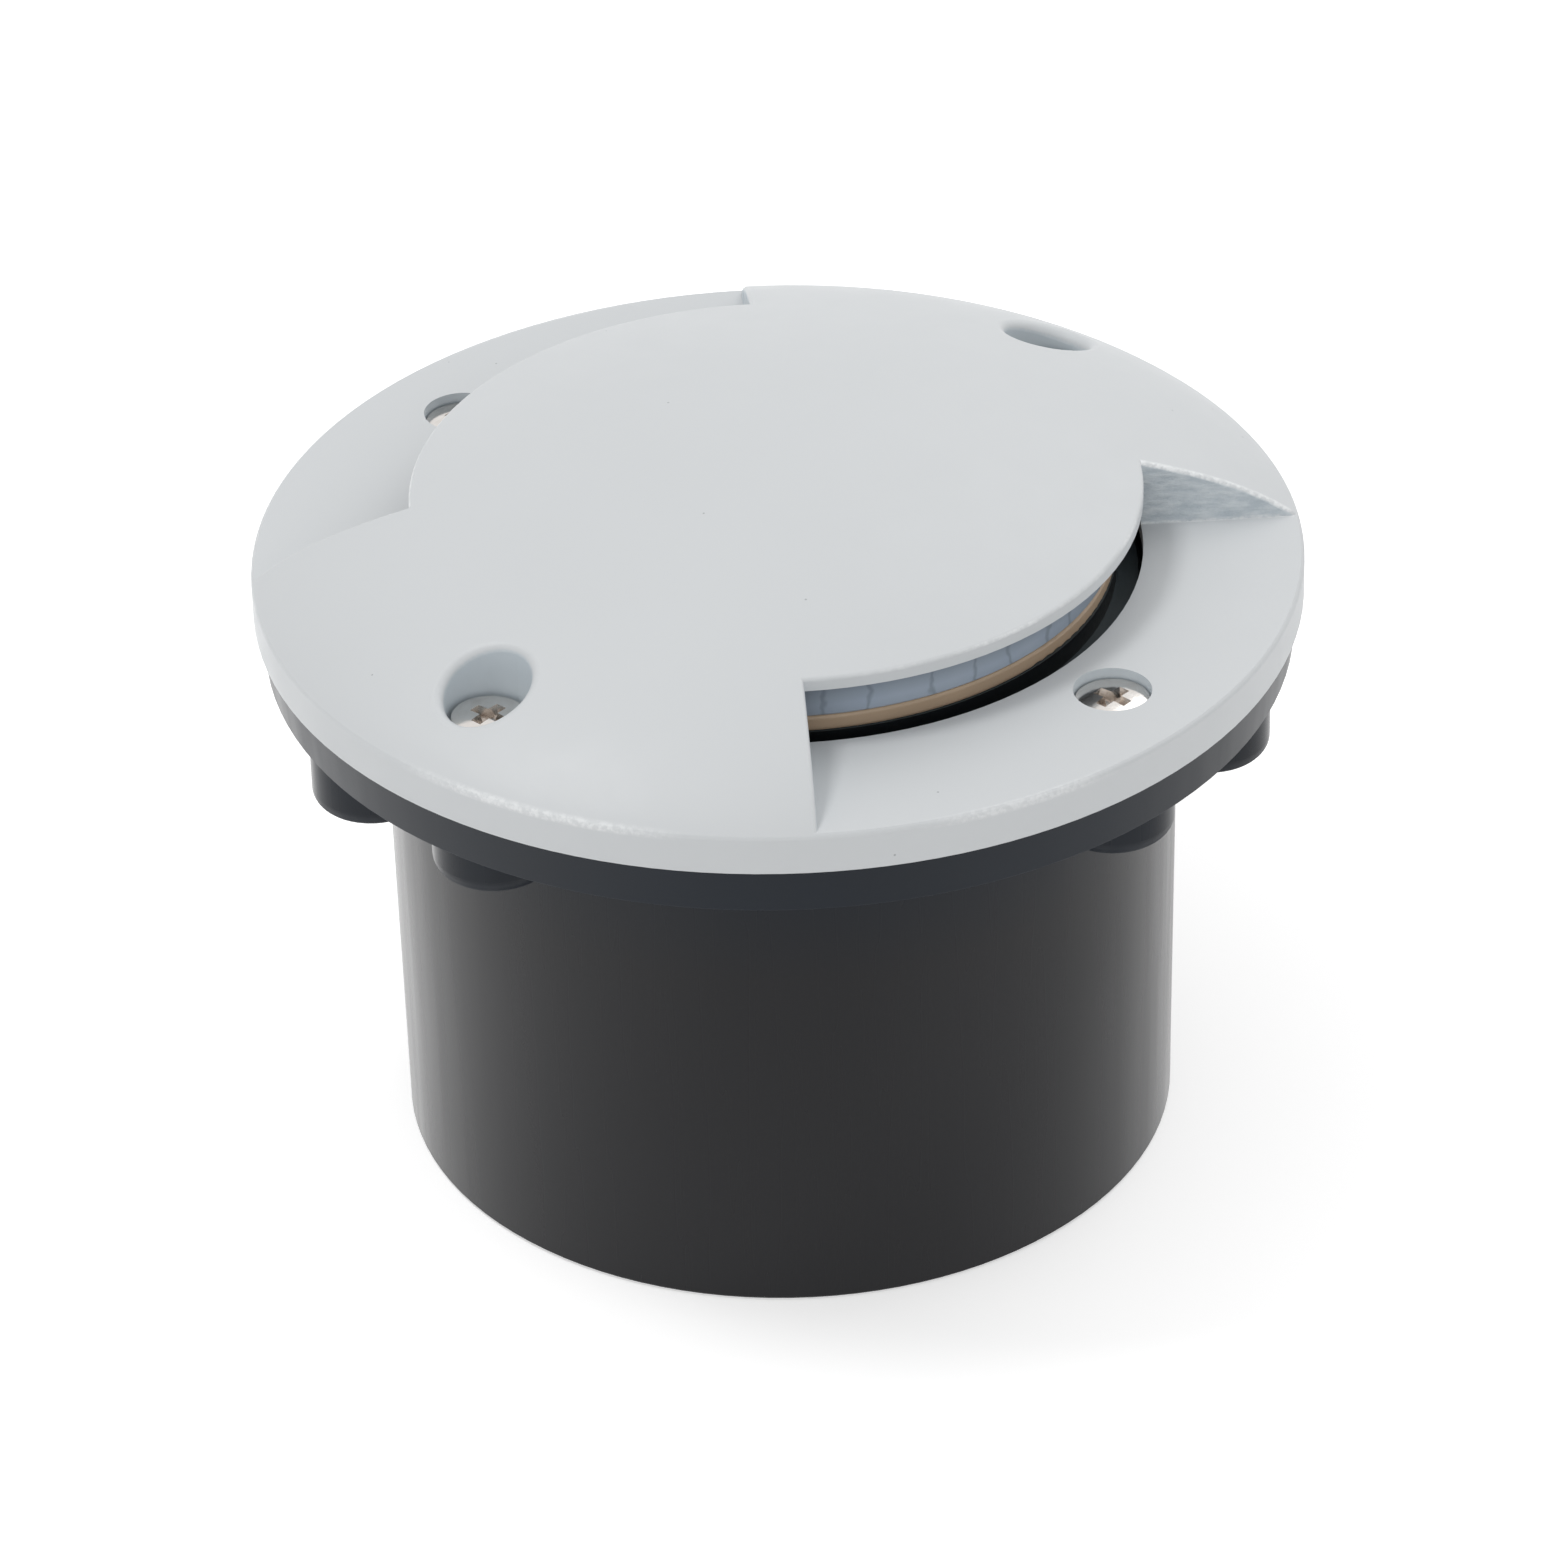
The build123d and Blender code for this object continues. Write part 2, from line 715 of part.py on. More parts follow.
ring_screw_places = around(ring_screw_circle, ring_screw_turns, ring_top)
with BuildPart() as lens_ring:
    with BuildSketch(Plane.XZ):
        Polygon(
            (ring_inner_radius, ring_spigot_foot),
            (ring_spigot_radius, ring_spigot_foot),
            (ring_spigot_radius, seat),
            (ring_outer_radius, seat),
            (ring_outer_radius, ring_top),
            (ring_collar_radius, ring_top),
            (ring_collar_radius, ring_collar_top),
            (ring_inner_radius, ring_collar_top),
            align=None,
        )
    revolve(axis=Axis.Z)
    ring_rims = lens_ring.edges().filter_by(GeomType.CIRCLE)
    ring_rims = ring_rims.filter_by(lambda e: abs(level(e) - ring_top_level) < near)
    chamfer(ring_rims.sort_by(SortBy.LENGTH)[-1], length=ring_edge_chamfer)
    with BuildSketch(Plane.XY.offset(seat)):
        with Locations(*around(ring_screw_circle, ring_screw_turns)):
            Circle(ring_ear_radius)
    extrude(amount=ring_top_level)
    with Locations(*ring_screw_places):
        CounterSinkHole(small_thread_radius, small_sink_radius, depth=ring_top_level)
lens_ring.part.label = "lens_ring"
export_step(lens_ring.part, "parts/lens_ring.step")

with BuildPart() as ring_seal:
    with BuildSketch(Plane.XY.offset(ring_recess_foot)):
        Circle(ring_spigot_radius)
        Circle(ring_spigot_radius - ring_seal_width, mode=Mode.SUBTRACT)
    extrude(amount=ring_seal_thickness)
ring_seal.part.label = "ring_seal"
export_step(ring_seal.part, "parts/ring_seal.step")

with BuildPart() as lens_ring_screws:
    for place in ring_screw_places:
        with Locations(place):
            add(small_flush_screw)
lens_ring_screws.part.label = "lens_ring_screws"
export_step(lens_ring_screws.part, "parts/lens_ring_screws.step")

# ---- light source
board_screw_places = around(led_board_screw_circle, board_screw_turns, board_top)
with BuildPart() as thermal_pad:
    with BuildSketch(Plane.XY.offset(lamp_shelf)):
        Circle(led_board_radius)
        with Locations(*board_screw_places):
            Circle(small_hole_radius, mode=Mode.SUBTRACT)
    extrude(amount=thermal_pad_thickness)
thermal_pad.part.label = "thermal_pad"
export_step(thermal_pad.part, "parts/thermal_pad.step")

with BuildPart() as led_board:
    with BuildSketch(Plane.XY.offset(board_top)):
        Circle(led_board_radius)
    extrude(amount=-led_board_thickness)
    with Locations(*board_screw_places):
        CounterSinkHole(small_thread_radius, small_sink_radius, depth=led_board_thickness)
led_board.part.label = "led_board"
export_step(led_board.part, "parts/led_board.step")

with BuildPart() as led_board_screws:
    for place in board_screw_places:
        with Locations(place):
            add(short_flush_screw)
led_board_screws.part.label = "led_board_screws"
export_step(led_board_screws.part, "parts/led_board_screws.step")

with BuildPart() as led_emitter:
    with BuildSketch(Plane.XY.offset(board_top)):
        Circle(led_base_radius)
    extrude(amount=led_base_thickness)
    with BuildSketch(Plane.XY.offset(board_top + led_base_thickness)):
        Circle(phosphor_radius)
    extrude(amount=-phosphor_thickness, mode=Mode.SUBTRACT)
led_emitter.part.label = "led_emitter"
export_step(led_emitter.part, "parts/led_emitter.step")

with BuildPart() as led_phosphor:
    with BuildSketch(Plane.XY.offset(board_top + led_base_thickness)):
        Circle(phosphor_radius)
    extrude(amount=-phosphor_thickness)
led_phosphor.part.label = "led_phosphor"
export_step(led_phosphor.part, "parts/led_phosphor.step")

# The reflector's facets follow a parabola from its foot on the board to its mouth under the lens.
reflector_top = lens_foot - reflector_top_gap
reflector_height = reflector_top - board_top


def reflector_radius(share):
    """The reflector's inner corner radius at a share of its height."""
    foot_square = reflector_foot_radius**2
    return sqrt(foot_square + share * (reflector_mouth_radius**2 - foot_square))


with BuildPart() as reflector:
    for step in range(reflector_rings + 1):
        share = step / reflector_rings
        with BuildSketch(Plane.XY.offset(board_top + share * reflector_height)):
            RegularPolygon(reflector_radius(share) + reflector_wall, reflector_facets)
    loft(ruled=True)
    for step in range(reflector_rings + 1):
        share = step / reflector_rings
        with BuildSketch(Plane.XY.offset(board_top + share * reflector_height)):
            RegularPolygon(reflector_radius(share), reflector_facets)
    loft(ruled=True, mode=Mode.SUBTRACT)
reflector.part.label = "reflector"
export_step(reflector.part, "parts/reflector.step")

# ---- driver
grommet_lip = wire_hole_radius + grommet_lip_width
grommet_bore = lead_spread / 2 + lead_radius + grommet_clearance
with BuildPart() as wire_grommet:
    with BuildSketch(Plane.XY.offset(lamp_shelf_foot - grommet_lip_height)):
        with Locations((wire_hole_reach, 0)):
            Circle(grommet_lip)
    extrude(amount=grommet_lip_height)
    with BuildSketch(Plane.XY.offset(lamp_shelf_foot)):
        with Locations((wire_hole_reach, 0)):
            Circle(wire_hole_radius)
    extrude(amount=lamp_shelf_thickness)
    with BuildSketch(Plane.XY.offset(lamp_shelf)):
        with Locations((wire_hole_reach, 0)):
            Circle(grommet_lip)
    extrude(amount=grommet_lip_height)
    with BuildSketch(Plane.XY.offset(lamp_shelf_foot - grommet_lip_height)):
        with Locations((wire_hole_reach, 0)):
            Circle(grommet_bore)
    extrude(amount=lamp_shelf_thickness + 2 * grommet_lip_height, mode=Mode.SUBTRACT)
wire_grommet.part.label = "wire_grommet"
export_step(wire_grommet.part, "parts/wire_grommet.step")


def lead(offset):
    """One lead: from the light source's board outwards, and down through the shelf to the driver."""
    height = board_top + lead_radius
    with BuildPart() as wire:
        with BuildLine():
            FilletPolyline(
                (lead_start, offset, height),
                (wire_hole_reach, offset, height),
                (wire_hole_reach, offset, driver_board_top),
                radius=lead_bend,
            )
        with BuildSketch(Plane(origin=(lead_start, offset, height), z_dir=(1, 0, 0))):
            Circle(lead_radius)
        sweep()
    return wire.part


lead_start = led_board_radius - lead_pad
led_lead_positive = lead(lead_spread / 2)
led_lead_positive.label = "led_lead_positive"
export_step(led_lead_positive, "parts/led_lead_positive.step")
led_lead_negative = lead(-lead_spread / 2)
led_lead_negative.label = "led_lead_negative"
export_step(led_lead_negative, "parts/led_lead_negative.step")

standoff_places = around(standoff_circle, standoff_turns, driver_board_foot)
with BuildPart() as driver_board:
    with BuildSketch(Plane.XY.offset(driver_board_foot)):
        Circle(driver_board_radius)
        with Locations(*standoff_places):
            Circle(small_hole_radius, mode=Mode.SUBTRACT)
    extrude(amount=driver_board_thickness)
driver_board.part.label = "driver_board"
export_step(driver_board.part, "parts/driver_board.step")

with BuildPart() as driver_screws:
    for x, y, z in standoff_places:
        with Locations(Location((x, y, z), (180, 0, 0))):
            add(short_screw)
driver_screws.part.label = "driver_screws"
export_step(driver_screws.part, "parts/driver_screws.step")

with BuildPart() as driver_transformer:
    with BuildSketch(Plane.XY.offset(driver_board_foot)):
        with Locations((0, transformer_place)):
            Rectangle(transformer_length, transformer_width)
    extrude(amount=-transformer_height)
    fillet(driver_transformer.edges().filter_by(Axis.Z), radius=transformer_corner)
driver_transformer.part.label = "driver_transformer"
export_step(driver_transformer.part, "parts/driver_transformer.step")

with BuildPart() as driver_capacitors:
    with BuildSketch(Plane.XY.offset(driver_board_foot)):
        with Locations((capacitor_place, -capacitor_pitch / 2), (capacitor_place, capacitor_pitch / 2)):
            Circle(capacitor_radius)
    extrude(amount=-capacitor_height)
    fillet(driver_capacitors.edges().group_by(Axis.Z)[0], radius=capacitor_edge)
driver_capacitors.part.label = "driver_capacitors"
export_step(driver_capacitors.part, "parts/driver_capacitors.step")

with BuildPart() as terminal_block:
    with BuildSketch(Plane.XY.offset(driver_board_foot)):
        with Locations((0, -terminal_place)):
            Rectangle(terminal_length, terminal_width)
    extrude(amount=-terminal_height)
    for side in (-1, 1):
        x = side * terminal_screw_pitch / 2
        with Locations((x, -terminal_place, driver_board_foot - terminal_height)):
            Cylinder(
                terminal_screw_radius + thread_clearance,
                terminal_screw_length + terminal_screw_sink,
                align=(Align.CENTER, Align.CENTER, Align.MIN),
                mode=Mode.SUBTRACT,
            )
        entry = Plane(
            origin=(x, -terminal_place, driver_board_foot - terminal_height / 2), z_dir=(0, 1, 0)
        )
        with BuildSketch(entry):
            Circle(terminal_wire_hole)
        extrude(amount=terminal_width / 2, mode=Mode.SUBTRACT)
terminal_block.part.label = "terminal_block"
export_step(terminal_block.part, "parts/terminal_block.step")

terminal_screw_head = driver_board_foot - terminal_height + terminal_screw_sink
with BuildPart() as terminal_screws:
    with BuildSketch(Plane.XY.offset(terminal_screw_head)):
        for side in (-1, 1):
            with Locations((side * terminal_screw_pitch / 2, -terminal_place)):
                Circle(terminal_screw_radius)
    extrude(amount=terminal_screw_length)
    with BuildSketch(Plane.XY.offset(terminal_screw_head)):
        for side in (-1, 1):
            with Locations((side * terminal_screw_pitch / 2, -terminal_place)):
                Rectangle(2 * terminal_screw_radius, terminal_slot_width)
    extrude(amount=terminal_slot_depth, mode=Mode.SUBTRACT)
terminal_screws.part.label = "terminal_screws"
export_step(terminal_screws.part, "parts/terminal_screws.step")

# ---- base cap and cable gland
spigot_radius = driver_bore_radius - base_spigot_clearance
seal_middle = body_foot + base_spigot_height / 2
base_screw_places = around(base_screw_circle, base_screw_turns, cap_foot)
with BuildPart() as base_cap:
    with BuildSketch(Plane.XY.offset(cap_foot)):
        Circle(body_fin_radius)
    extrude(amount=base_cap_thickness)
    chamfer(base_cap.edges().group_by(Axis.Z)[0], length=base_cap_chamfer)
    with BuildSketch(Plane.XY.offset(body_foot)):
        Circle(spigot_radius)
        Circle(spigot_radius - base_spigot_wall, mode=Mode.SUBTRACT)
        Circle(gland_boss_radius)
    extrude(amount=gland_boss_height)
    with BuildSketch(Plane.XY.offset(body_foot)):
        Circle(spigot_radius)
        Circle(spigot_radius - base_spigot_wall, mode=Mode.SUBTRACT)
    extrude(amount=base_spigot_height)
    with BuildSketch(Plane.XY.offset(seal_middle - base_seal_groove / 2)):
        Circle(spigot_radius)
        Circle(driver_bore_radius - 2 * base_seal_section, mode=Mode.SUBTRACT)
    extrude(amount=base_seal_groove, mode=Mode.SUBTRACT)
    with BuildSketch(Plane.XY.offset(cap_foot)):
        Circle(gland_thread_radius + thread_clearance)
        with Locations(*around(base_screw_circle, base_screw_turns)):
            Circle(small_hole_radius)
    extrude(amount=base_cap_thickness + base_spigot_height, mode=Mode.SUBTRACT)
base_cap.part.label = "base_cap"
export_step(base_cap.part, "parts/base_cap.step")

with BuildPart() as base_seal:
    with BuildSketch(Plane.XZ):
        with Locations((driver_bore_radius - base_seal_section, seal_middle)):
            Ellipse(base_seal_section, base_seal_groove / 2)
    revolve(axis=Axis.Z)
base_seal.part.label = "base_seal"
export_step(base_seal.part, "parts/base_seal.step")

with BuildPart() as base_cap_screws:
    for place in base_screw_places:
        with Locations(Location(place, (180, 0, 0))):
            add(small_screw)
base_cap_screws.part.label = "base_cap_screws"
export_step(base_cap_screws.part, "parts/base_cap_screws.step")

hex_corner_radius = gland_flats / 2 / cos(pi / 6)
hex_top = cap_foot - gland_washer_thickness
hex_foot = hex_top - gland_hex_height
with BuildPart() as gland_washer:
    with BuildSketch(Plane.XY.offset(hex_top)):
        Circle(gland_thread_radius + gland_washer_width)
        Circle(gland_thread_radius, mode=Mode.SUBTRACT)
    extrude(amount=gland_washer_thickness)
gland_washer.part.label = "gland_washer"
export_step(gland_washer.part, "parts/gland_washer.step")

with BuildPart() as gland_body:
    with BuildSketch(Plane.XY.offset(hex_top)):
        Circle(gland_thread_radius)
    extrude(amount=gland_washer_thickness + base_cap_thickness + gland_boss_height)
    with BuildSketch(Plane.XY.offset(hex_foot)):
        RegularPolygon(hex_corner_radius, 6)
    extrude(amount=gland_hex_height)
    with BuildSketch(Plane.XY.offset(hex_foot - gland_stem_height)):
        Circle(gland_stem_radius)
    extrude(amount=gland_stem_height)
    with Locations((0, 0, body_foot + gland_boss_height)):
        Hole(gland_bore_radius)
gland_body.part.label = "gland_body"
export_step(gland_body.part, "parts/gland_body.step")

with BuildPart() as gland_seal:
    with BuildSketch(Plane.XY.offset(hex_foot - gland_stem_height)):
        Circle(gland_bore_radius)
        Circle(cable_hole_radius, mode=Mode.SUBTRACT)
    extrude(amount=gland_stem_height)
gland_seal.part.label = "gland_seal"
export_step(gland_seal.part, "parts/gland_seal.step")

nut_top = hex_foot - gland_nut_gap
nut_room = gland_stem_height - gland_nut_gap + gland_nut_end_gap
with BuildPart() as gland_nut:
    with BuildSketch(Plane.XY.offset(nut_top - gland_nut_height)):
        RegularPolygon(hex_corner_radius, 6)
    extrude(amount=gland_nut_height)
    with BuildSketch(Plane.XZ):
        with BuildLine():
            Polyline(
                (gland_flats / 2 - gland_nut_crown / 2, nut_top - gland_nut_height),
                (hex_corner_radius, nut_top - gland_nut_height + gland_nut_crown),
                (hex_corner_radius, nut_top - gland_nut_height),
                close=True,
            )
        make_face()
    revolve(axis=Axis.Z, mode=Mode.SUBTRACT)
    with BuildSketch(Plane.XY.offset(nut_top)):
        Circle(gland_stem_radius + thread_clearance)
    extrude(amount=-nut_room, mode=Mode.SUBTRACT)
    with Locations((0, 0, nut_top)):
        Hole(cable_hole_radius + cable_hole_margin)
gland_nut.part.label = "gland_nut"
export_step(gland_nut.part, "parts/gland_nut.step")
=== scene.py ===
import json
from math import cos, hypot, radians, sin

import bpy
from mathutils import Matrix, Vector

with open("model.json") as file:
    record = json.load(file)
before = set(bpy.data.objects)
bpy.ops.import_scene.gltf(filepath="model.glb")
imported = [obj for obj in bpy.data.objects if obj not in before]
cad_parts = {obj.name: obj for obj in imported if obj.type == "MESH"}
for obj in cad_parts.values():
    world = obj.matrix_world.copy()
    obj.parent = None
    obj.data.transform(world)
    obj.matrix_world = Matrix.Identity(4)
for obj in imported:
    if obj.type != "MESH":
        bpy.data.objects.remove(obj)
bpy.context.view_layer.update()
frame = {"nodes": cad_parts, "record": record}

nodes = frame["nodes"]


def top_of(name):
    """The level of the highest point of a node's solids."""
    return max(vertex.co.z for vertex in nodes[name].data.vertices)


def reach_of(name):
    """The distance from the light's axis to the farthest point of a node's solids."""
    return max(hypot(vertex.co.x, vertex.co.y) for vertex in nodes[name].data.vertices)


# ---- places on the solids that the finishes follow
SEAT = top_of("mounting_sleeve")
COVER_RADIUS = reach_of("cover")
RIM_RADIUS = COVER_RADIUS - 0.0008
CREASE_RADIUS = COVER_RADIUS - 0.0003
CREASE_LEVEL = SEAT + 0.0055
LIP_RADIUS = 0.0521
LIP_LEVEL = SEAT + 0.0163
LENS_EDGE_RADIUS = reach_of("lens") - 0.0004
WINDOW_HALF_TURN = 45.25
WINDOW_FLOOR_LEVEL = SEAT + 0.0061
BORE_REACH = 0.0535
SCREW_CIRCLE = 0.061
RECESS_REACH = 0.0032
RECESS_DEPTH = 0.0022
POCKET_HEAD_TOP = SEAT + 0.0078
FLOOR_HEAD_TOP = SEAT + 0.0045

# ---- the photograph's camera, set about the middle of the cover's lower edge
CAMERA_AZIMUTH = -48.7
CAMERA_ELEVATION = 31.573
CAMERA_DISTANCE = 1.1348
CAMERA_PITCH = 1.4254
CAMERA_YAW = -0.0231
CAMERA_ROLL = 1.4386
CAMERA_LENS = 183.095
CAMERA_SENSOR = 36.0
CAMERA_CLIP = 50.0


def linear(code):
    """The scene colour of a six digit colour code, by the sRGB curve."""
    parts = [int(code[i : i + 2], 16) / 255 for i in (0, 2, 4)]
    curved = [p / 12.92 if p <= 0.04045 else ((p + 0.055) / 1.055) ** 2.4 for p in parts]
    return (*curved, 1.0)


def scaled(colour, factor):
    """A colour made lighter or darker."""
    return tuple(min(part * factor, 1.0) for part in colour[:3]) + (1.0,)


# ---- node helpers; a mix node's colour sockets share their names with others, so they go by number
NOISE_SPAN = (0.3, 0.7)
FLAT_SHARE = 0.4
FIRST_COLOUR, SECOND_COLOUR, MIXED_COLOUR = 6, 7, 2
TONE_SCALE, TONE_SHADE = 60.0, 0.06
GRAIN_SCALE, GRAIN_DEPTH, GRAIN_GLOSS = 900.0, 0.00002, 0.04


class Finish:
    """One material's nodes, with its shader and its coordinates in the object's own metres."""

    def __init__(self, name):
        self.material = bpy.data.materials.new(name)
        self.material.use_nodes = True
        self.tree = self.material.node_tree
        self.tree.nodes.clear()
        self.shader = self.node("ShaderNodeBsdfPrincipled")
        output = self.node("ShaderNodeOutputMaterial")
        self.link(self.shader.outputs["BSDF"], output.inputs["Surface"])
        self.place = self.node("ShaderNodeTexCoord").outputs["Object"]

    def node(self, kind, **settings):
        made = self.tree.nodes.new(kind)
        for key, value in settings.items():
            setattr(made, key, value)
        return made

    def link(self, start, end):
        self.tree.links.new(start, end)

    def feed(self, socket, value):
        """Sets a socket to a number, or links it to another socket."""
        if isinstance(value, bpy.types.NodeSocket):
            self.link(value, socket)
        else:
            socket.default_value = value

    def set(self, name, value):
        """Sets one of the shader's own inputs."""
        self.feed(self.shader.inputs[name], value)

    # -- numbers
    def calc(self, kind, first, second=0.0):
        """A number worked out from one or two numbers or sockets."""
        made = self.node("ShaderNodeMath", operation=kind)
        self.feed(made.inputs[0], first)
        self.feed(made.inputs[1], second)
        return made.outputs["Value"]

    def plus(self, first, second):
        return self.calc("ADD", first, second)

    def minus(self, first, second):
        return self.calc("SUBTRACT", first, second)

    def times(self, first, *others):
        for other in others:
            first = self.calc("MULTIPLY", first, other)
        return first

    def larger(self, first, second):
        return self.calc("MAXIMUM", first, second)

    def size(self, value):
        return self.calc("ABSOLUTE", value)

    def over(self, value, limit):
        """One where a value is over a limit, and zero elsewhere."""
        return self.calc("GREATER_THAN", value, limit)

    def under(self, value, limit):
        """One where a value is under a limit, and zero elsewhere."""
        return self.calc("LESS_THAN", value, limit)

    def spread(self, value, low, high, start=NOISE_SPAN[0], end=NOISE_SPAN[1]):
        """Maps a value that runs from start to end onto low to high."""
        made = self.node("ShaderNodeMapRange")
        self.feed(made.inputs["Value"], value)
        made.inputs["From Min"].default_value = start
        made.inputs["From Max"].default_value = end
        made.inputs["To Min"].default_value = low
        made.inputs["To Max"].default_value = high
        return made.outputs["Result"]

    def near(self, value, place, half):
        """One where a value is at a place, falling to zero at half a width from it."""
        away = self.size(self.minus(value, place))
        return self.spread(away, 1.0, 0.0, half * FLAT_SHARE, half)

    # -- places
    def parts(self, vector):
        """The three parts of a vector."""
        made = self.node("ShaderNodeSeparateXYZ")
        self.link(vector, made.inputs["Vector"])
        return made.outputs["X"], made.outputs["Y"], made.outputs["Z"]

    def joined(self, x, y):
        """A vector of two numbers or sockets."""
        made = self.node("ShaderNodeCombineXYZ")
        self.feed(made.inputs["X"], x)
        self.feed(made.inputs["Y"], y)
        return made.outputs["Vector"]

    def upness(self):
        """How far the surface faces up: one on a level face, zero on an upright one."""
        return self.parts(self.node("ShaderNodeNewGeometry").outputs["Normal"])[2]

    def reach(self):
        """The distance from the light's axis."""
        x, y = self.parts(self.place)[:2]
        return self.calc("SQRT", self.plus(self.times(x, x), self.times(y, y)))

    def sideways(self):
        """The distance from the light's axis to the right, as the photograph shows it."""
        x, y = self.parts(self.place)[:2]
        turn = radians(CAMERA_AZIMUTH)
        return self.plus(self.times(x, cos(turn)), self.times(y, sin(turn)))

    # -- textures
    def noise(self, scale, detail=3.0, roughness=0.55, stretch=None, place=None):
        """Noise of a number of waves per metre, as a value about one half."""
        place = place or self.place
        if stretch is not None:
            mapping = self.node("ShaderNodeMapping")
            self.link(place, mapping.inputs["Vector"])
            mapping.inputs["Scale"].default_value = stretch
            place = mapping.outputs["Vector"]
        made = self.node("ShaderNodeTexNoise")
        self.link(place, made.inputs["Vector"])
        made.inputs["Scale"].default_value = scale
        made.inputs["Detail"].default_value = detail
        made.inputs["Roughness"].default_value = roughness
        return made.outputs["Fac"]

    def cells(self, socket, value, scale, **settings):
        """The distance within the cells of a number of cells per metre."""
        made = self.node("ShaderNodeTexVoronoi", **settings)
        self.link(value, made.inputs[socket])
        made.inputs["Scale"].default_value = scale
        return made.outputs["Distance"]

    def blend(self, factor, first, second):
        """A colour between two colours."""
        made = self.node("ShaderNodeMix", data_type="RGBA")
        self.feed(made.inputs["Factor"], factor)
        self.feed(made.inputs[FIRST_COLOUR], first)
        self.feed(made.inputs[SECOND_COLOUR], second)
        return made.outputs[MIXED_COLOUR]

    def bump(self, height, depth, normal=None):
        """A normal pushed about by a height of zero to one, as deep as depth in metres."""
        made = self.node("ShaderNodeBump")
        made.inputs["Strength"].default_value = 1.0
        made.inputs["Distance"].default_value = depth
        self.link(height, made.inputs["Height"])
        if normal is not None:
            self.link(normal, made.inputs["Normal"])
        return made.outputs["Normal"]

    def grain(self, roughness, scale, depth=GRAIN_DEPTH):
        """Gives the surface a fine grain, and a gloss that varies with it."""
        fine = self.noise(scale, detail=4.0)
        self.set("Roughness", self.spread(fine, roughness - GRAIN_GLOSS, roughness + GRAIN_GLOSS))
        self.set("Normal", self.bump(fine, depth))


def plain_finish(
    name, code, roughness, metal=0.0, shade=TONE_SHADE, grain=GRAIN_SCALE, depth=GRAIN_DEPTH
):
    """A finish with patches of lighter and darker colour, uneven gloss and a fine grain."""
    finish = Finish(name)
    colour = linear(code)
    tone = finish.spread(finish.noise(TONE_SCALE), 0.0, 1.0)
    darker, lighter = scaled(colour, 1 - shade), scaled(colour, 1 + shade)
    finish.set("Base Color", finish.blend(tone, darker, lighter))
    finish.set("Metallic", metal)
    finish.grain(roughness, grain, depth)
    return finish


# ---- cover: satin powder coat on a die casting
COAT = linear("d4d7d9")
COAT_SHADE = 0.015
COAT_PATCHES = 14.0
COAT_ROUGHNESS = (0.42, 0.5)
COAT_SPECULAR = 0.42
PEEL_SCALE, PEEL_DEPTH = 1400.0, 0.000012
SWELL_SCALE, SWELL_DEPTH = 160.0, 0.00003
# painted shade: a darker, bluer tint for the steep walls between the lip and the rim
BORE_SHADE_TINT = linear("c9d2d8")
STEEP = (0.15, 0.45)

WALL_WIDTH = 0.0012
# the window walls' coarse skin, in darker, bluer tones that are painted shade
SHADED_SKIN_TONES = linear("bcc6cd"), linear("d6dde1")
SKIN_SCALE, SKIN_DEPTH = 900.0, 0.0003
SKIN_DRAW = 0.35
SKIN_CONTRAST = (0.35, 0.65)

# painted highlights: tint, gloss, widths and shares along the crease, the lip and one window wall
PAINTED_HIGHLIGHT_TINT = linear("f4f6f7")
PAINTED_HIGHLIGHT_GLOSS = 0.15
CREASE_WIDTH, CREASE_HEIGHT = 0.0007, 0.0008
LEFT_CREASE_HIGHLIGHT, LEFT_CREASE_SHARE = (-0.033, 0.02), 0.8
RIGHT_CREASE_HIGHLIGHT, RIGHT_CREASE_SHARE = (0.032, 0.014), 0.6
LIP_WIDTH, LIP_SHARE = 0.0004, 0.7
LIP_STRETCHES, LIP_CONTRAST = 45.0, (0.4, 0.6)
WALL_TOP_WIDTH, WALL_TOP_LIFT, WALL_TOP_SLOPE = 0.0009, 0.0004, (0.1, 0.4)
WALL_FOOT_WIDTH, WALL_FOOT_HEIGHT, WALL_FOOT_SHARE = 0.0004, 0.0005, 0.6
HIGHLIGHTED_WALL_SPAN = (0.02, 0.035)
GLINT_SCALE, GLINT_LOW, GLINT_CONTRAST = 1300.0, 0.35, (0.42, 0.6)

SPECK_TINT = linear("6f7478")
SPECK_SCALE, SPECK_RADIUS, SPECK_SHARE = 130.0, 0.022, 0.45


